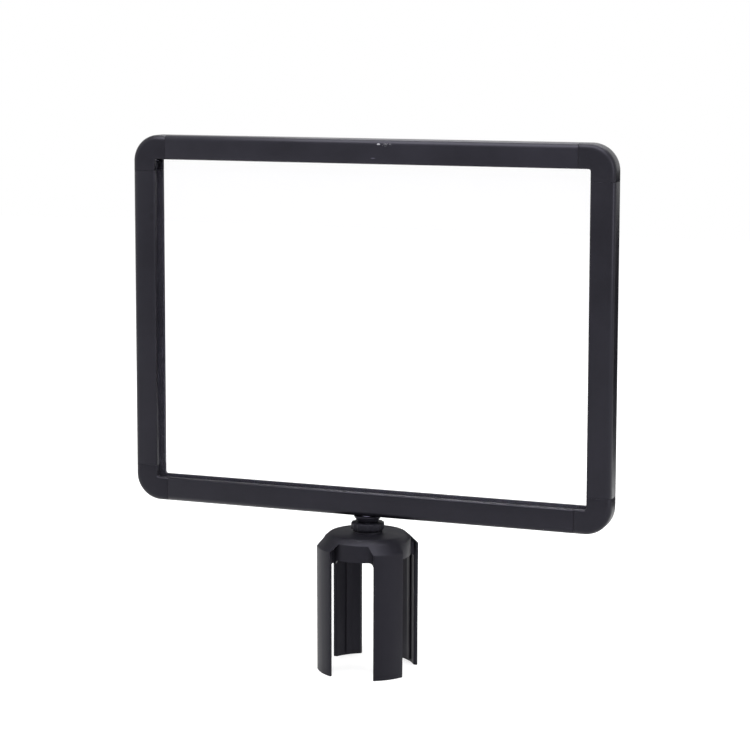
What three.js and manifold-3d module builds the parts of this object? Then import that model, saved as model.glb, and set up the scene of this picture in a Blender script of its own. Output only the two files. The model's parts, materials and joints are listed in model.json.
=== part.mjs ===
import * as THREE from 'three';
import { mergeVertices } from 'three/addons/utils/BufferGeometryUtils.js';
import Module from 'manifold-3d';

const wasm = await Module();
wasm.setup();

// Sign frame, millimetres
const frameWidth = 317.8;
const frameHeight = 237.7;
const railFace = 15.5;
const railDepth = 15.6;
const outerRound = 3.8;
const lipRound = 1.4;
const railWall = 1.4;
const slotWeb = 1.2;
const slotDepth = 8.6;
const mouthWidth = 9.2;
const mouthDepth = 4;
const elbowArm = 23;
const elbowRadius = 16.9;
const tongueLength = 20;
const sheetThickness = 2;
const printGap = 0.3;

// Clearances
const seatGap = 0.3;
const fitGap = 0.2;
const jointGap = 0.2;

// Neck: bolt, washers, ring and collar on the swivel axis
const boltRadius = 4;
const boltHeadAcross = 13;
const boltHeadHeight = 5.3;
const washerRadius = 8;
const washerThickness = 1.6;
const springRadius = 7;
const springThickness = 2;
const springSlit = 1.6;
const bushWall = 1.6;
const flangeThickness = 1;
const thrustThickness = 0.6;
const ringRadius = 10.6;
const ringHeight = 4.3;
const ringLobes = 14;
const ringLobeSteps = 6;
const ringLobeDepth = 0.7;
const ringChamfer = 0.7;
const collarTopRadius = 9;
const collarBottomRadius = 6.2;
const collarHeight = 3.9;
const anchorLength = 60;

// Cap that sits over the post head, its heights taken down from the crown
const crownHeight = 87.4;
const coneDrop = 3;
const shoulderDrop = 7.2;
const slotDrop = 13.6;
const capRadius = 32.4;
const legTaper = 0.3;
const legWall = 2.4;
const legSpan = 36.5;
const legChamfer = 1.1;
const shoulderRound = 1.2;
const shoulderSweep = 50;
const skirtInset = 5;
const skirtWall = 2.4;
const skirtLap = 2.4;
const archRound = 2.3;
const crownInset = 5.6;
const crownBulge = 0.9;
const domeThickness = 3.4;
const bossRadius = 9.3;
const bossHeight = 1.2;
const ribWidth = 3.4;
const ribDepth = 0.9;
const ribFoot = 1.5;
const recessChamfer = 6.2;
const recessChamferDrop = 6.2;

// How far a cutter passes the face that it cuts
const overcut = 1;
const turnSteps = 72;
const smallTurnSteps = 40;
const arcSteps = 5;

// Sizes that follow from the ones above
const grooveWidth = 2 * sheetThickness + printGap + 2 * seatGap;
const chamberInner = railFace - slotDepth - slotWeb;
const chamberHalf = railDepth / 2 - railWall;
const boreRadius = boltRadius + fitGap;
const bushRadius = boreRadius + bushWall;
const domeUnderside = crownHeight - domeThickness;
const bossTop = crownHeight + bossHeight;
const thrustBottom = bossTop + seatGap;
const ringBottom = thrustBottom + thrustThickness + fitGap;
const collarBottom = ringBottom + ringHeight + seatGap;
const frameBottom = collarBottom + collarHeight + seatGap;
const frameCentre = frameBottom + frameHeight / 2;
const flangeBottom = domeUnderside - fitGap - flangeThickness;
const washerBottom = flangeBottom - fitGap - washerThickness;
const springBottom = washerBottom - fitGap - springThickness;
const boltHeadTop = springBottom - fitGap;
const boltEnd = frameBottom + chamberInner - fitGap;
const slotHalfAngle = THREE.MathUtils.degToRad((90 - legSpan) / 2);
const coneEdgeHeight = crownHeight - coneDrop;
const slotTop = crownHeight - slotDrop;
const legInner = capRadius - legTaper - legWall;
const skirtRadius = capRadius - skirtInset;
const skirtMiddle = skirtRadius - skirtWall / 2;
const skirtBottom = slotTop - skirtLap;
const crownRadius = skirtRadius - crownInset;

// The frame's slot in steps from the window edge, each its floor and its width
const slotStages = [[railFace - mouthDepth, mouthWidth], [railFace - slotDepth, grooveWidth]];

const blackMetal = { color: 0x303136, roughness: 0.42, metalness: 0.35 };
const blackPlastic = { color: 0x2c2d31, roughness: 0.5, metalness: 0.05 };
const darkPlastic = { color: 0x1c1d20, roughness: 0.6, metalness: 0 };
const steel = { color: 0xa9adb2, roughness: 0.35, metalness: 0.9 };
const nylon = { color: 0xd9d6cc, roughness: 0.6, metalness: 0 };
const clearSheet = { color: 0xf2f6f7, roughness: 0.06, metalness: 0, opacity: 0.12, transparent: true };

function solid(geometry) {
  const bare = geometry.clone();
  bare.deleteAttribute('normal');
  bare.deleteAttribute('uv');
  const merged = mergeVertices(bare, 1e-4);
  return new wasm.Manifold(new wasm.Mesh({
    numProp: 3,
    vertProperties: new Float32Array(merged.attributes.position.array),
    triVerts: new Uint32Array(merged.index.array),
  }));
}

function geometryOf(manifold) {
  const mesh = manifold.getMesh();
  const geometry = new THREE.BufferGeometry();
  geometry.setAttribute('position', new THREE.BufferAttribute(mesh.vertProperties, 3));
  geometry.setIndex(new THREE.BufferAttribute(mesh.triVerts, 1));
  geometry.computeVertexNormals();
  return geometry;
}

function piece(name, geometry, finish) {
  const mesh = new THREE.Mesh(geometry, new THREE.MeshStandardMaterial(finish));
  mesh.name = name;
  return mesh;
}

// A box between two corners
function block(low, high) {
  const size = high.map((value, axis) => value - low[axis]);
  const centre = high.map((value, axis) => (value + low[axis]) / 2);
  return new THREE.BoxGeometry(...size).translate(...centre);
}

// A ring or disc about +Z whose closed profile is a list of [radius, height]
function turned(profile, steps = turnSteps) {
  const points = [...profile, profile[0]].map(([radius, height]) => new THREE.Vector2(radius, height));
  return new THREE.LatheGeometry(points, steps).rotateX(Math.PI / 2);
}

function upright(radius, bottom, top, steps = 32) {
  const rod = new THREE.CylinderGeometry(radius, radius, top - bottom, steps);
  return rod.rotateX(Math.PI / 2).translate(0, 0, (top + bottom) / 2);
}

function ringProfile(inner, outer, bottom, top) {
  return [[inner, bottom], [outer, bottom], [outer, top], [inner, top]];
}

// A flat outline given by its corners
function outline(points) {
  return new THREE.Shape(points.map(([x, y]) => new THREE.Vector2(x, y)));
}

function extruded(shape, depth) {
  return new THREE.ExtrudeGeometry(shape, { depth, bevelEnabled: false, curveSegments: arcSteps });
}

// Points of an arc about a centre, angles in degrees, both ends included
function arc(centreX, centreY, radius, from, to, steps = arcSteps) {
  return Array.from({ length: steps + 1 }, (_, step) => {
    const angle = THREE.MathUtils.degToRad(from + ((to - from) * step) / steps);
    return [centreX + radius * Math.cos(angle), centreY + radius * Math.sin(angle)];
  });
}

// The rail's outside, from the outer edge at 0 to the window edge at railFace
function railOutside() {
  const half = railDepth / 2;
  return [
    ...arc(outerRound, -half + outerRound, outerRound, 180, 270),
    ...arc(railFace - lipRound, -half + lipRound, lipRound, 270, 360),
    ...arc(railFace - lipRound, half - lipRound, lipRound, 0, 90),
    ...arc(outerRound, half - outerRound, outerRound, 90, 180),
  ];
}

function cutBy(body, cutters) {
  return cutters.reduce((whole, cutter) => whole.subtract(solid(cutter)), body);
}

function joined(body, parts) {
  return parts.reduce((whole, part) => whole.add(solid(part)), body);
}

// A shape drawn as [from the outer edge, depth], run along x from a start
function railPrism(shape, start, length) {
  const alongX = new THREE.Matrix4().makeBasis(
    new THREE.Vector3(0, 1, 0),
    new THREE.Vector3(0, 0, 1),
    new THREE.Vector3(1, 0, 0),
  );
  return extruded(shape, length).applyMatrix4(alongX).translate(start, 0, 0);
}

// A hollow rail along x, its outer edge on y = 0 and its slot facing +y
function railSolid(length) {
  const shape = outline(railOutside());
  shape.holes.push(outline([
    [railWall, -chamberHalf],
    [chamberInner, -chamberHalf],
    [chamberInner, chamberHalf],
    [railWall, chamberHalf],
  ]));
  const past = length / 2 + overcut;
  const cuts = slotStages.map(([floor, width]) => block(
    [-past, floor, -width / 2],
    [past, railFace + overcut, width / 2],
  ));
  return cutBy(solid(railPrism(shape, -length / 2, length)), cuts);
}

// The quarter turn of the rail's section that fills a corner of the frame
function bendSolid() {
  const profile = railOutside().map(([across, depth]) => [elbowRadius - across, depth]).reverse();
  const whole = solid(turned(profile).translate(elbowRadius, elbowRadius, 0));
  return whole.intersect(solid(block([0, 0, -railDepth], [elbowRadius, elbowRadius, railDepth])));
}

// An elbow in the corner of +x and +y, with a tongue for each of its two rails
function elbowSolid() {
  const swapped = new THREE.Matrix4().makeBasis(
    new THREE.Vector3(0, 1, 0),
    new THREE.Vector3(1, 0, 0),
    new THREE.Vector3(0, 0, -1),
  );
  const arm = railPrism(outline(railOutside()), elbowRadius, elbowArm - elbowRadius);
  const tongue = block(
    [elbowArm - overcut, railWall + fitGap, fitGap - chamberHalf],
    [elbowArm + tongueLength, chamberInner - fitGap, chamberHalf - fitGap],
  );
  const alongY = [arm, tongue].map((part) => part.clone().applyMatrix4(swapped));
  const past = elbowArm + overcut;
  const cuts = slotStages.map(([floor, width]) => block(
    [floor, floor, -width / 2],
    [past, past, width / 2],
  ));
  return cutBy(joined(bendSolid(), [arm, tongue, ...alongY]), cuts);
}

const cornerAngles = { bottom_left: 0, bottom_right: 90, top_right: 180, top_left: 270 };
const railAngles = { bottom: 0, right: 90, top: 180, left: 270 };

function elbowAt(corner, geometry) {
  const mesh = piece(`elbow_${corner}`, geometry, blackPlastic);
  const x = corner.endsWith('left') ? -frameWidth / 2 : frameWidth / 2;
  const y = corner.startsWith('bottom') ? -frameHeight / 2 : frameHeight / 2;
  mesh.position.set(x, y, 0);
  mesh.rotation.z = THREE.MathUtils.degToRad(cornerAngles[corner]);
  return mesh;
}

// The bottom rail is drilled through its outer wall for the bolt
function railAt(side) {
  const standing = side === 'left' || side === 'right';
  const length = (standing ? frameHeight : frameWidth) - 2 * (elbowArm + jointGap);
  const drill = new THREE.CylinderGeometry(boreRadius, boreRadius, 2 * railWall + overcut, 32);
  const body = cutBy(railSolid(length), side === 'bottom' ? [drill] : []);
  const mesh = piece(`${side}_rail`, geometryOf(body), blackMetal);
  mesh.rotation.z = THREE.MathUtils.degToRad(railAngles[side]);
  mesh.position.set(0, -(standing ? frameWidth : frameHeight) / 2, 0).applyEuler(mesh.rotation);
  return mesh;
}

function coverSheet(name, sign) {
  const inset = railFace - slotDepth + seatGap;
  const sheet = new THREE.BoxGeometry(
    frameWidth - 2 * inset,
    frameHeight - 2 * inset,
    sheetThickness,
  );
  const mesh = piece(name, sheet, clearSheet);
  mesh.position.z = (sign * (sheetThickness + printGap)) / 2;
  return mesh;
}

// The frame is made flat, x to the right and y up, and then stood on its bottom rail
function signFrame() {
  const frame = new THREE.Group();
  const elbow = geometryOf(elbowSolid());
  frame.add(
    ...Object.keys(cornerAngles).map((corner) => elbowAt(corner, elbow)),
    ...Object.keys(railAngles).map(railAt),
    coverSheet('front_cover_sheet', 1),
    coverSheet('rear_cover_sheet', -1),
  );
  frame.rotation.x = Math.PI / 2;
  frame.position.z = frameCentre;
  return frame;
}

// A turned ring with a scalloped rim and a chamfer at its top
function ringSolid() {
  const points = ringLobeSteps * ringLobes;
  const rim = Array.from({ length: points }, (_, step) => {
    const angle = (2 * Math.PI * step) / points;
    const radius = ringRadius - (ringLobeDepth * (1 - Math.cos(ringLobes * angle))) / 2;
    return [radius * Math.cos(angle), radius * Math.sin(angle)];
  });
  const ringTop = ringBottom + ringHeight;
  const chamfered = turned([
    [boltRadius + seatGap, ringBottom],
    [ringRadius + overcut, ringBottom],
    [ringRadius + overcut, ringTop - ringChamfer - overcut],
    [ringRadius - ringChamfer, ringTop],
    [boltRadius + seatGap, ringTop],
  ], smallTurnSteps);
  return solid(extruded(outline(rim), ringHeight).translate(0, 0, ringBottom)).intersect(solid(chamfered));
}

function boltSolid() {
  const corner = boltHeadAcross / Math.sqrt(3);
  const head = new THREE.CylinderGeometry(corner, corner, boltHeadHeight, 6);
  head.rotateX(Math.PI / 2).translate(0, 0, boltHeadTop - boltHeadHeight / 2);
  return solid(head).add(solid(upright(boltRadius, boltHeadTop - overcut, boltEnd)));
}

// The split washer under the bolt's head
function springSolid() {
  const ring = ringProfile(boreRadius, springRadius, springBottom, springBottom + springThickness);
  const slit = block(
    [0, -springSlit / 2, springBottom - overcut],
    [springRadius + overcut, springSlit / 2, springBottom + springThickness + overcut],
  );
  return cutBy(solid(turned(ring, smallTurnSteps)), [slit]);
}

// The plate inside the bottom rail that the bolt is screwed into
function anchorSolid() {
  const bottom = frameBottom + railWall + fitGap;
  const plate = block(
    [-anchorLength / 2, fitGap - chamberHalf, bottom],
    [anchorLength / 2, chamberHalf - fitGap, boltEnd],
  );
  return cutBy(solid(plate), [upright(boreRadius, bottom - overcut, boltEnd + overcut)]);
}

function neck() {
  const collar = [
    [boltRadius + seatGap, collarBottom],
    [collarBottomRadius, collarBottom],
    [collarTopRadius, collarBottom + collarHeight],
    [boltRadius + seatGap, collarBottom + collarHeight],
  ];
  const bush = [
    [boreRadius, flangeBottom],
    [washerRadius, flangeBottom],
    [washerRadius, flangeBottom + flangeThickness],
    [bushRadius, flangeBottom + flangeThickness],
    [bushRadius, bossTop],
    [boreRadius, bossTop],
  ];
  const thrustTop = thrustBottom + thrustThickness;
  const thrust = ringProfile(boreRadius, bossRadius - seatGap, thrustBottom, thrustTop);
  const washer = ringProfile(boreRadius, washerRadius, washerBottom, washerBottom + washerThickness);
  return [
    piece('stem_collar', turned(collar, smallTurnSteps), blackPlastic),
    piece('lock_ring', geometryOf(ringSolid()), darkPlastic),
    piece('swivel_bolt', geometryOf(boltSolid()), steel),
    piece('swivel_bush', turned(bush, smallTurnSteps), nylon),
    piece('thrust_washer', turned(thrust, smallTurnSteps), darkPlastic),
    piece('plain_washer', turned(washer, smallTurnSteps), steel),
    piece('spring_washer', geometryOf(springSolid()), steel),
    piece('anchor_plate', geometryOf(anchorSolid()), steel),
  ];
}

// The crowned top and the skirt below it
function domeSolid() {
  const skirtInner = skirtRadius - skirtWall;
  const slopeMiddle = (skirtRadius + crownRadius) / 2;
  const profile = [
    [bushRadius + fitGap, domeUnderside],
    [crownRadius - skirtWall, domeUnderside],
    [skirtInner, coneEdgeHeight - domeThickness],
    [skirtInner, skirtBottom],
    [skirtRadius, skirtBottom],
    [skirtRadius, coneEdgeHeight],
    [slopeMiddle, (coneEdgeHeight + crownHeight) / 2 + crownBulge],
    [crownRadius, crownHeight],
    [bossRadius, crownHeight],
    [bossRadius, bossTop],
    [bushRadius + fitGap, bossTop],
  ];
  return cutBy(solid(turned(profile)), quarters(archCut()));
}

// Four copies of a shape, a quarter turn apart
function quarters(geometry) {
  return [0, 1, 2, 3].map((turn) => geometry.clone().rotateZ((turn * Math.PI) / 2));
}

// A prism along +x from the swivel axis, its outline given across and up
function radialPrism(points) {
  const prism = extruded(outline(points), capRadius + overcut);
  return prism.rotateX(Math.PI / 2).rotateZ(Math.PI / 2);
}

// The rounded top of a slot, cut through the skirt
function archCut() {
  const half = (skirtRadius + fitGap) * Math.sin(slotHalfAngle);
  return radialPrism([
    [-half, skirtBottom - overcut],
    [half, skirtBottom - overcut],
    ...arc(half - archRound, slotTop - archRound, archRound, 0, 90),
    ...arc(-half + archRound, slotTop - archRound, archRound, 90, 180),
  ]);
}

// A ring of leg wall that leans in to the skirt at its top
function legRing() {
  const shoulderHeight = crownHeight - shoulderDrop;
  return solid(turned([
    [legInner, 0],
    [capRadius - legTaper, 0],
    ...arc(capRadius - shoulderRound, shoulderHeight - shoulderRound, shoulderRound, 0, shoulderSweep),
    [skirtRadius, coneEdgeHeight],
    [skirtMiddle, coneEdgeHeight],
    [skirtMiddle, slotTop],
    [legInner, skirtBottom],
  ]));
}

// Half of a slot's outline seen from above, wider where the legs' inner corners are cut
function slotEdge() {
  const sine = Math.sin(slotHalfAngle);
  const cosine = Math.cos(slotHalfAngle);
  const outer = legInner + legChamfer;
  return [
    [legInner * cosine - legChamfer * sine, legInner * sine + legChamfer * cosine],
    [outer * cosine, outer * sine],
    [2 * capRadius * cosine, 2 * capRadius * sine],
  ];
}

// The space between two legs, bounded above by a recess with cut corners
function slotSpaces() {
  const edge = slotEdge();
  const mirrored = edge.map(([x, y]) => [x, -y]);
  const top = coneEdgeHeight + overcut;
  const plan = outline([[0, 0], ...mirrored, ...edge.reverse()]);
  const sectors = quarters(extruded(plan, top + overcut).translate(0, 0, -overcut));
  const half = capRadius * Math.sin(slotHalfAngle) + seatGap;
  const recesses = quarters(radialPrism([
    [-half, -overcut],
    [half, -overcut],
    [half, top - recessChamferDrop],
    [half - recessChamfer, top],
    [recessChamfer - half, top],
    [-half, top - recessChamferDrop],
  ]));
  return sectors.map((wedge, turn) => solid(wedge).intersect(solid(recesses[turn])));
}

// One gripping rib on the inner face of a leg that would stand on +x
function legRib() {
  return block(
    [legInner - ribDepth, -ribWidth / 2, ribFoot],
    [legInner + legWall / 2, ribWidth / 2, skirtBottom + overcut],
  );
}

function capSolid() {
  const legs = slotSpaces().reduce((ring, space) => ring.subtract(space), legRing());
  return joined(legs.add(domeSolid()), quarters(legRib().rotateZ(Math.PI / 4)));
}

const group = new THREE.Group();
group.add(piece('post_cap', geometryOf(capSolid()), blackPlastic), ...neck(), signFrame());

export default group;
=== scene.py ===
import json
import math

import bmesh
import bpy
from mathutils import Matrix, Vector


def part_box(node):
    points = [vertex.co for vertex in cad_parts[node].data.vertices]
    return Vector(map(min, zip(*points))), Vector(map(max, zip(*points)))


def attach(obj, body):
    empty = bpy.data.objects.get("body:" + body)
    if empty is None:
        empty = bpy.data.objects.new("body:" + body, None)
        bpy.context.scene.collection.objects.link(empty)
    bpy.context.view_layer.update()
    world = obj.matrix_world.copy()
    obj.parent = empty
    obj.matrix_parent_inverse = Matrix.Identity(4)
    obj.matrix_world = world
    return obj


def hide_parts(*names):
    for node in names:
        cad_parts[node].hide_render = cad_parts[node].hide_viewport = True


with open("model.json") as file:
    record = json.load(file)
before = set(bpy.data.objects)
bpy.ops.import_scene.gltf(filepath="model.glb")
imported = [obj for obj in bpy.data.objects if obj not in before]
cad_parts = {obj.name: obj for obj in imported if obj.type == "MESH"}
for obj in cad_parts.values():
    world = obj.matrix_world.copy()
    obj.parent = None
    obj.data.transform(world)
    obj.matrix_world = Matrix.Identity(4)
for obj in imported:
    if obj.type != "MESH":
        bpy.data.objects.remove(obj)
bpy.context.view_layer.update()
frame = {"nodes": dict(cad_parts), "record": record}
scene = bpy.context.scene
mm = 0.001


class Wire:
    # a socket that can be used in sums
    def __init__(self, tree, socket):
        self.tree = tree
        self.socket = socket

    def of(self, name):
        # another output of the same node
        return Wire(self.tree, self.socket.node.outputs[name])

    def maths(self, operation, *others):
        node = self.tree.nodes.new("ShaderNodeMath")
        node.operation = operation
        for place, value in enumerate((self,) + others):
            plug(self.tree, value, node.inputs[place])
        return Wire(self.tree, node.outputs[0])

    def __add__(self, other):
        return self.maths("ADD", other)

    def __mul__(self, other):
        return self.maths("MULTIPLY", other)

    def __sub__(self, other):
        return self.maths("SUBTRACT", other)

    def __rsub__(self, other):
        return (self * -1.0) + other

    __radd__ = __add__
    __rmul__ = __mul__


def plug(tree, value, socket):
    if isinstance(value, Wire):
        tree.links.new(value.socket, socket)
    else:
        socket.default_value = value


class Graph:
    # a node tree and the one way that nodes are added to it
    def __init__(self, tree):
        self.tree = tree
        tree.nodes.clear()

    def add(self, kind, settings=None, inputs=None, out=0):
        node = self.tree.nodes.new(kind)
        for key, value in (settings or {}).items():
            if key == "stops":
                setStops(node.color_ramp, value)
            else:
                setattr(node, key, value)
        for key, value in (inputs or {}).items():
            plug(self.tree, value, node.inputs[key])
        return Wire(self.tree, node.outputs[out]) if len(node.outputs) else None

    def seen(self, even):
        # 1 for the rays that meet the white studio, a lower level for the light it gives
        path = self.add("ShaderNodeLightPath")
        kinds = [path.of(name) for name in ("Is Camera Ray", "Is Glossy Ray", "Is Transmission Ray")]
        return kinds[0].maths("MAXIMUM", kinds[1]).maths("MAXIMUM", kinds[2]).maths("MAXIMUM", even)


class Finish(Graph):
    # one material and the nodes that make it
    def __init__(self, name):
        self.material = bpy.data.materials.new(name)
        self.material.use_nodes = True
        super().__init__(self.material.node_tree)
        self.place = self.add("ShaderNodeTexCoord", out="Object")

    def noise(self, scale, detail=3.0, rough=0.55, stretch=(1, 1, 1)):
        moved = self.add("ShaderNodeMapping", None, {"Vector": self.place, "Scale": stretch})
        return self.add("ShaderNodeTexNoise", None,
                        {"Vector": moved, "Scale": scale, "Detail": detail, "Roughness": rough})

    def ramp(self, value, stops):
        return self.add("ShaderNodeValToRGB", {"stops": stops}, {"Fac": value})

    def step(self, value, low, high):
        # 0 below low, 1 above high
        return self.add("ShaderNodeMapRange", None,
                        {"Value": value, "From Min": low, "From Max": high})

    def blend(self, factor, first, second):
        return self.add("ShaderNodeMix", {"data_type": "RGBA"},
                        {0: factor, 6: first, 7: second}, 2)

    def near(self, centre, radius, soft=0.5, stretch=(1, 1, 1)):
        # 1 close to a point on the piece, 0 away from it
        away = self.add("ShaderNodeVectorMath", {"operation": "SUBTRACT"},
                        {0: self.place, 1: centre})
        away = self.add("ShaderNodeVectorMath", {"operation": "MULTIPLY"}, {0: away, 1: stretch})
        far = self.add("ShaderNodeVectorMath", {"operation": "LENGTH"}, {0: away}, 1)
        return 1 - self.step(far, radius * (1 - soft), radius)

    def bump(self, height, strength, distance, under=None):
        inputs = {"Height": height, "Strength": strength, "Distance": distance}
        if under:
            inputs["Normal"] = under
        return self.add("ShaderNodeBump", None, inputs)

    def principled(self, **inputs):
        named = {key.replace("_", " "): value for key, value in inputs.items()}
        return self.surface(self.add("ShaderNodeBsdfPrincipled", None, named))

    def surface(self, shader):
        self.add("ShaderNodeOutputMaterial", None, {"Surface": shader})
        return self.material


def setStops(ramp, stops):
    while len(ramp.elements) < len(stops):
        ramp.elements.new(0.5)
    for element, (place, tone) in zip(ramp.elements, stops):
        element.position = place
        element.color = tone if len(tone) == 4 else (*tone, 1)


def grey(level, blue=1.0):
    # linear colour of a display grey from 0 to 255
    part = level / 255
    linear = part / 12.92 if part < 0.04045 else ((part + 0.055) / 1.055) ** 2.4
    return (linear, linear * 0.96, linear * 1.32 * blue, 1)


coolTint = (0.84, 0.82, 1.0, 1)
coating = {"base": 17, "mottle": 4, "cloud": 38, "peel": 2600, "streak": 120,
           "rough": 0.33, "roughSwing": 0.12, "grain": 0.05 * mm, "shine": 0.26}
wear = {"chipAt": (0.0094, 0.0003, -0.0031), "chipSize": 0.7 * mm, "torn": 1500,
        "speckAt": (0.0145, 0.0002, -0.0032), "speckSize": 1.5 * mm,
        "scratchAt": (0.0058, 0, -0.0118), "scratchSize": 1.9 * mm,
        "bare": (0.42, 0.42, 0.45, 1), "scratched": 120, "darkSpotSize": 4.2 * mm, "darkSpotNoise": 260}


def satinCoating(name, paintedSheen=0, corner=None, darkSpotAt=None):
    # powder coated rail: fine orange peel, an optional raised base as painted sheen, worn edges and a
    # dark spot
    look = Finish(name)
    # a raised base stands for the sheen where light falls on the rail: painted sheen
    base = coating["base"] + paintedSheen
    cloud = look.noise(coating["cloud"], 4)
    streak = look.noise(coating["streak"], 5, 0.6)
    tone = look.ramp(cloud, [(0.3, grey(base - coating["mottle"])),
                             (0.7, grey(base + coating["mottle"]))])
    rough = streak * coating["roughSwing"] + cloud * 0.1 + (coating["rough"] - 0.1)
    if corner:
        tone, rough = wornThrough(look, corner, tone, rough)
    # a noisy patch turned black and rougher at the given place
    if darkSpotAt:
        patch = look.near(darkSpotAt, wear["darkSpotSize"], 1.0, (1, 1, 0.55))
        patch = patch * look.step(look.noise(wear["darkSpotNoise"], 4), 0.35, 0.6)
        tone = look.blend(patch, tone, grey(0))
        rough = rough + patch * 0.2
    peel = look.noise(coating["peel"], 2, 0.5)
    normal = look.bump(peel, 0.16, coating["grain"])
    return look.principled(Base_Color=tone, Roughness=rough, Normal=normal,
                           Specular_IOR_Level=coating["shine"], Specular_Tint=coolTint)


def wornThrough(look, corner, tone, rough):
    # a chip and a speck of bare metal at the upper edge, and a scratch below them
    torn = look.noise(wear["torn"], 3)
    chip = look.near(placed(corner, wear["chipAt"]), wear["chipSize"], 0.4, (0.55, 1, 1.1))
    speck = look.near(placed(corner, wear["speckAt"]), wear["speckSize"], 0.9, (0.35, 1, 1.2))
    bare = (chip * look.step(torn, 0.36, 0.44)).maths(
        "MAXIMUM", speck * look.step(torn, 0.55, 0.6) * 0.8)
    scratch = look.near(placed(corner, wear["scratchAt"]), wear["scratchSize"], 0.8, (1, 1, 4))
    tone = look.blend(scratch * 0.35, tone, grey(wear["scratched"]))
    return look.blend(bare, tone, wear["bare"]), rough + bare * 0.2


def placed(corner, offset):
    return tuple(base + step for base, step in zip(corner, offset))


moulding = {"mottle": 3, "flow": 30, "sand": 1900, "roughSwing": 0.12, "grain": 0.06 * mm,
            "shine": 0.25}


def mouldedPlastic(name, base, rough, scale=1.0, shine=moulding["shine"]):
    # injection moulded: sand-like tool texture, faint flow marks
    look = Finish(name)
    flow = look.noise(moulding["flow"], 5, 0.6, (1, 1, 0.35))
    sand = look.noise(moulding["sand"] * scale, 3, 0.6)
    tone = look.ramp(flow, [(0.3, grey(base - moulding["mottle"])),
                            (0.72, grey(base + moulding["mottle"]))])
    gloss = flow * moulding["roughSwing"] + sand * 0.05 + (rough - 0.08)
    normal = look.bump(sand, 0.2, moulding["grain"])
    return look.principled(Base_Color=tone, Roughness=gloss, Normal=normal,
                           Specular_IOR_Level=shine, Specular_Tint=coolTint)


def platedSteel(name):
    look = Finish(name)
    cloud = look.noise(160, 4)
    turning = look.noise(900, 2, 0.5, (0.2, 0.2, 3))
    tone = look.ramp(cloud, [(0.3, grey(150)), (0.7, grey(182))])
    return look.principled(Base_Color=tone, Metallic=1.0,
                           Roughness=turning * 0.16 + 0.22,
                           Normal=look.bump(turning, 0.2, 0.04 * mm))


def naturalNylon(name):
    look = Finish(name)
    cloud = look.noise(120, 3)
    tone = look.ramp(cloud, [(0.3, grey(206, 0.9)), (0.7, grey(222, 0.9))])
    return look.principled(Base_Color=tone, Roughness=cloud * 0.2 + 0.35,
                           Normal=look.bump(look.noise(1500), 0.12, 0.05 * mm))


def clearAcrylic(name):
    # thin enough to see through with only a trace of gloss
    look = Finish(name)
    wipe = look.noise(14, 4, 0.6, (1, 1, 2.5))
    return look.principled(Base_Color=grey(250, 0.95), Roughness=wipe * 0.06 + 0.03,
                           Alpha=wipe * 0.012 + 0.003, Specular_IOR_Level=0.3)


def merged(node):
    # a clean copy of a frame node: shared corners, flat faces joined
    mesh = frame["nodes"][node].data.copy()
    form = bmesh.new()
    form.from_mesh(mesh)
    bmesh.ops.remove_doubles(form, verts=form.verts, dist=1e-6)
    bmesh.ops.dissolve_limit(form, angle_limit=math.radians(0.4),
                             verts=form.verts, edges=form.edges)
    form.to_mesh(mesh)
    form.free()
    mesh.materials.clear()
    if node.endswith("_rail"):
        meetElbows(mesh)
    return mesh


jointFill = 0.12 * mm  # at each end of a rail, less than the play in the joint


def meetElbows(mesh):
    # both ends of a rail drawn out towards the elbows, so that less light comes through
    spans = [[corner.co[axis] for corner in mesh.vertices] for axis in range(3)]
    axis = max(range(3), key=lambda index: max(spans[index]) - min(spans[index]))
    middle = (max(spans[axis]) + min(spans[axis])) / 2
    for corner in mesh.vertices:
        corner.co[axis] += jointFill if corner.co[axis] > middle else -jointFill


def applied(piece, smooth):
    # the modifiers' result as a plain mesh on the same object
    bpy.context.view_layer.update()
    ready = piece.evaluated_get(bpy.context.evaluated_depsgraph_get())
    mesh = bpy.data.meshes.new_from_object(ready)
    piece.modifiers.clear()
    piece.data = mesh
    mesh.set_sharp_from_angle(angle=math.radians(smooth))
    for face in mesh.polygons:
        face.use_smooth = True
    return piece


def linked(name, mesh):
    piece = bpy.data.objects.new(name, mesh)
    scene.collection.objects.link(piece)
    return piece


def settled(piece, node, body, material):
    piece.data.materials.clear()
    piece.data.materials.append(material)
    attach(piece, body)
    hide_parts(node)
    return piece


edgeCurve = {"segments": 3, "sharpFrom": 32}


def softened(node, body, material, width):
    # the node with its sharp edges rounded off
    piece = linked(node + "_finished", merged(node))
    piece.data.materials.append(material)
    for face in piece.data.polygons:
        face.use_smooth = True
    edge = piece.modifiers.new("edge", "BEVEL")
    edge.width = width * mm
    edge.segments = edgeCurve["segments"]
    edge.limit_method = "ANGLE"
    edge.angle_limit = math.radians(edgeCurve["sharpFrom"])
    edge.use_clamp_overlap = True
    edge.harden_normals = True
    edge.miter_outer = "MITER_ARC"
    applied(piece, 40)
    return settled(piece, node, body, material)


def bodyOf(node):
    for body, members in frame["record"]["behaviour"]["bodies"].items():
        if node in members:
            return body


railLow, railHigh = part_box("top_rail")
leftLow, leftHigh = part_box("left_rail")
# a point on the left rail's front, near its inner side and 27 mm below its top, where a patch is
# darkened
darkSpotPlace = (leftHigh.x - 1.2 * mm, leftLow.y, leftHigh.z - 27 * mm)

black = satinCoating("satin_black_coating")
# the top rail: base raised by 7 as painted sheen, with real wear at its upper edge
topBlack = satinCoating("satin_black_coating_worn_painted_sheen", 7, corner=(0, railLow.y, railHigh.z))
leftBlack = satinCoating("satin_black_coating_dark_spot", darkSpotAt=darkSpotPlace)
elbowBlack = mouldedPlastic("moulded_black_elbow", 17, 0.36)
capBlack = mouldedPlastic("moulded_black_cap", 19, 0.44, 1.0, 0.19)
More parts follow.
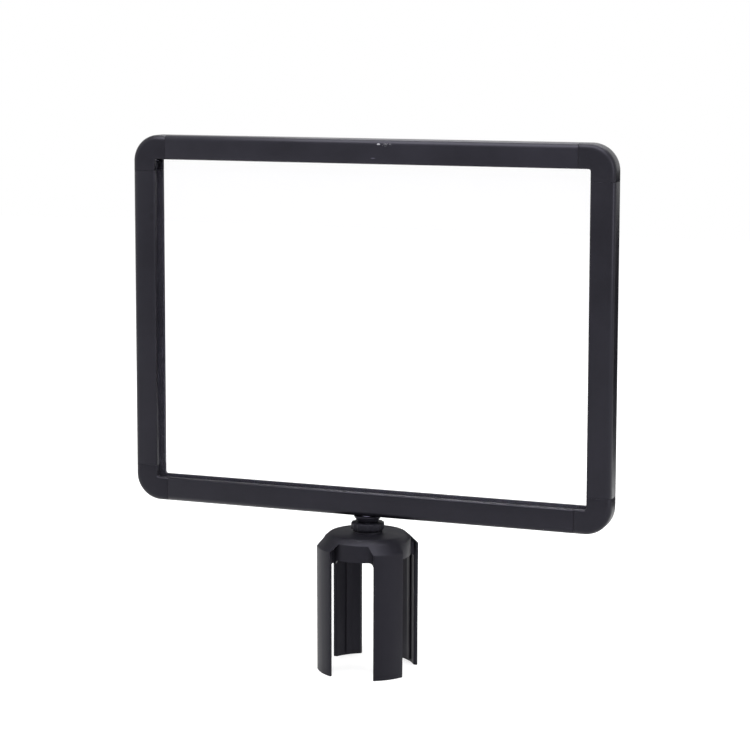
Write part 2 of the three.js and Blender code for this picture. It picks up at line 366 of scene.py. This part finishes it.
# the collar's base is lifted above the other blacks to make up for the shade under the rail: painted
# light
collarBlack = mouldedPlastic("moulded_black_collar", 27, 0.42, 1.0, 0.34)
ringBlack = mouldedPlastic("moulded_black_ring", 21, 0.5, 1.4, 0.22)
steel = platedSteel("zinc_plated_steel")
nylon = naturalNylon("natural_nylon")
acrylic = clearAcrylic("clear_acrylic")
print("materials made")

# each slot: its material and how wide its edges are rounded, in mm
finishes = {
    "rail_metal": (black, 0.26),
    "elbow_plastic": (elbowBlack, 0.26),
    "cap_plastic": (capBlack, 0.45),
    "ring_plastic": (ringBlack, 0.2),
    "steel": (steel, 0.25),
    "nylon": (nylon, 0.12),
    "clear_sheet": (acrylic, 0.15),
}
special = {"top_rail": topBlack, "left_rail": leftBlack, "stem_collar": collarBlack}
for part in frame["record"]["subparts"]:
    node, slot = part["node"], part["material_slot"]
    if node != "lock_ring":
        material, width = finishes[slot]
        softened(node, bodyOf(node), special.get(node, material), width)
print("pieces softened")


ring = {"Lobes": 14, "Lobe Depth": 0.7 * mm, "Inner Radius": 4.35 * mm, "Edge Round": 0.5 * mm}
ringKinds = {"Lobes": "NodeSocketInt", "Material": "NodeSocketMaterial"}


def scallopedRing(values):
    # a rounded profile swept round a circle, its rim drawn in between the lobes
    tree = bpy.data.node_groups.new("scalloped_ring", "GeometryNodeTree")
    shape = Graph(tree)
    tree.interface.new_socket("Geometry", in_out="OUTPUT", socket_type="NodeSocketGeometry")
    sockets = {name: tree.interface.new_socket(
        name, in_out="INPUT", socket_type=ringKinds.get(name, "NodeSocketFloat")).identifier
        for name in values}
    given = shape.add("NodeGroupInput")
    lobes, depth, inner, outer, low, high, edge, finish = (given.of(name) for name in (
        "Lobes", "Lobe Depth", "Inner Radius", "Radius", "Bottom", "Top", "Edge Round", "Material"))
    middle = (inner + outer) * 0.5
    section = shape.add("GeometryNodeCurvePrimitiveQuadrilateral", None,
                        {"Width": outer - inner, "Height": high - low})
    section = shape.add("GeometryNodeFilletCurve", {"mode": "POLY"},
                        {"Curve": section, "Count": 4, "Radius": edge})
    path = shape.add("GeometryNodeCurvePrimitiveCircle", None,
                     {"Resolution": lobes * 12, "Radius": middle})
    swept = shape.add("GeometryNodeCurveToMesh", None, {"Curve": path, "Profile Curve": section})
    spot = shape.add("ShaderNodeSeparateXYZ", None, {0: shape.add("GeometryNodeInputPosition")})
    x, y = spot.of("X"), spot.of("Y")
    away = (x * x + y * y).maths("SQRT")
    rim = shape.add("ShaderNodeMapRange", {"interpolation_type": "SMOOTHSTEP"},
                    {"Value": away, "From Min": middle, "From Max": outer})
    drawn = (1 - (y.maths("ARCTAN2", x) * lobes).maths("COSINE")) * 0.5 * depth * rim
    factor = (away - drawn).maths("DIVIDE", away) - 1.0
    shift = shape.add("ShaderNodeCombineXYZ", None,
                      {0: x * factor, 1: y * factor, 2: (low + high) * 0.5})
    moved = shape.add("GeometryNodeSetPosition", None, {"Geometry": swept, "Offset": shift})
    whole = shape.add("GeometryNodeRealizeInstances", None, {"Geometry": moved})
    whole = shape.add("GeometryNodeSetMaterial", None, {"Geometry": whole, "Material": finish})
    shape.add("NodeGroupOutput", None, {"Geometry": whole})
    return tree, sockets


def addRing(node):
    low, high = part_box(node)
    values = dict(ring, Radius=(high.x - low.x) / 2 - 0.05 * mm, Bottom=low.z, Top=high.z,
                  Material=ringBlack)
    piece = linked(node + "_finished", bpy.data.meshes.new(node + "_finished"))
    tree, sockets = scallopedRing(values)
    maker = piece.modifiers.new("ring", "NODES")
    maker.node_group = tree
    for name, value in values.items():
        maker[sockets[name]] = value
    applied(piece, 50)
    return settled(piece, node, bodyOf(node), ringBlack)


addRing("lock_ring")
print("ring swept")


# lift and far are the floor's own light under the cap and away from it
studio = {"floorSize": 6.0, "sky": 0.34, "lift": 0.62, "far": 0.86}


def whiteGround():
    # pale floor, white to the camera and still darkened by the shadow
    look = Finish("studio_floor")
    tone = look.ramp(look.noise(6), [(0.3, (0.49, 0.49, 0.49)), (0.7, (0.51, 0.51, 0.51))])
    pale = look.add("ShaderNodeBsdfDiffuse", None, {"Color": tone})
    away = look.add("ShaderNodeVectorMath", {"operation": "LENGTH"}, {0: look.place}, 1)
    level = look.step(away, 0.25, 0.9) * (studio["far"] - studio["lift"]) + studio["lift"]
    lift = look.add("ShaderNodeEmission", None,
                    {"Color": (1, 1, 1, 1), "Strength": look.seen(0) * level})
    return look.surface(look.add("ShaderNodeAddShader", None, {0: pale, 1: lift}))


def addFloor():
    half = studio["floorSize"] / 2
    corners = [(-half, -half, 0), (half, -half, 0), (half, half, 0), (-half, half, 0)]
    mesh = bpy.data.meshes.new("studio_floor")
    mesh.from_pydata(corners, [], [(0, 1, 2, 3)])
    mesh.materials.append(whiteGround())
    linked("studio_floor", mesh)


def addSky():
    # even light all round, white where the camera or a mirror looks at it
    scene.world = bpy.data.worlds.new("studio")
    scene.world.use_nodes = True
    sky = Graph(scene.world.node_tree)
    ground = sky.add("ShaderNodeBackground", None,
                     {"Color": (1, 1, 1, 1), "Strength": sky.seen(studio["sky"])})
    sky.add("ShaderNodeOutputWorld", None, {"Surface": ground})


# each lamp: its place, what it points at, its two sides and its watts
lamps = {
    "overhead": ((0.0, -0.5, 1.3), (0, 0, 0.25), (1.5, 0.9), 24),
    "top_back": ((0.0, 0.65, 1.3), (0, 0, 0.1), (1.2, 0.6), 12),
    "front_left": ((-1.5, -0.9, 0.7), (0, 0, 0.2), (0.5, 1.0), 2),
    "right_side": ((1.3, -0.58, 0.6), (0, 0, 0.2), (0.45, 1.0), 6.5),
}


def addLamp(name, place, target, size, power):
    lamp = bpy.data.lights.new(name, "AREA")
    lamp.shape = "RECTANGLE"
    lamp.size, lamp.size_y = size
    lamp.energy = power
    lampObject = bpy.data.objects.new(name, lamp)
    scene.collection.objects.link(lampObject)
    lampObject.location = place
    aim = Vector(target) - Vector(place)
    lampObject.rotation_euler = aim.to_track_quat("-Z", "Y").to_euler()


def addFlag(name, place, target, size):
    # a dark card beside the set, seen only in reflections
    look = Finish(name)
    tone = look.ramp(look.noise(3), [(0.3, (0.01, 0.01, 0.012)), (0.7, (0.02, 0.02, 0.024))])
    card = look.surface(look.add("ShaderNodeBsdfDiffuse", None, {"Color": tone}))
    aim = (Vector(target) - Vector(place)).to_track_quat("-Z", "Y").to_matrix().to_4x4()
    turned = Matrix.Translation(place) @ aim
    corners = [(x * size[0] / 2, y * size[1] / 2, 0) for x, y in ((-1, -1), (1, -1), (1, 1), (-1, 1))]
    mesh = bpy.data.meshes.new(name)
    mesh.from_pydata([turned @ Vector(corner) for corner in corners], [], [(0, 1, 2, 3)])
    mesh.materials.append(card)
    flag = linked(name, mesh)
    flag.visible_camera = flag.visible_shadow = flag.visible_diffuse = False


# angles in degrees, distances and the lens in mm
view = {"turn": 20.0, "down": 6.26, "roll": 0.13, "across": -4.26, "up": -33.45, "away": 1335.7,
        "lens": 102.35, "shift": -0.1333}


def addCamera():
    turn, down, roll = (math.radians(view[key]) for key in ("turn", "down", "roll"))
    ahead = Vector((-math.sin(turn) * math.cos(down), math.cos(turn) * math.cos(down),
                    -math.sin(down)))
    right = Vector((math.cos(turn), math.sin(turn), 0))
    upward = right.cross(ahead)
    centre = Vector((0, 0, (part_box("top_rail")[1].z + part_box("bottom_rail")[0].z) / 2))
    place = centre - (right * view["across"] + upward * view["up"] + ahead * view["away"]) * mm
    side = right * math.cos(roll) + upward * math.sin(roll)
    top = upward * math.cos(roll) - right * math.sin(roll)
    camera = bpy.data.cameras.new("camera")
    camera.lens = view["lens"]
    camera.shift_y = view["shift"]
    cameraObject = bpy.data.objects.new("camera", camera)
    scene.collection.objects.link(cameraObject)
    turned = Matrix((side, top, -ahead)).transposed().to_4x4()
    cameraObject.matrix_world = Matrix.Translation(place) @ turned
    scene.camera = cameraObject


addFloor()
addSky()
for name, values in lamps.items():
    addLamp(name, *values)
addFlag("behind", (0.1, 0.5, 0.15), (0.1, 0, 0.15), (1.3, 0.3))
addCamera()
scene.view_settings.view_transform = "Standard"
print("studio set")
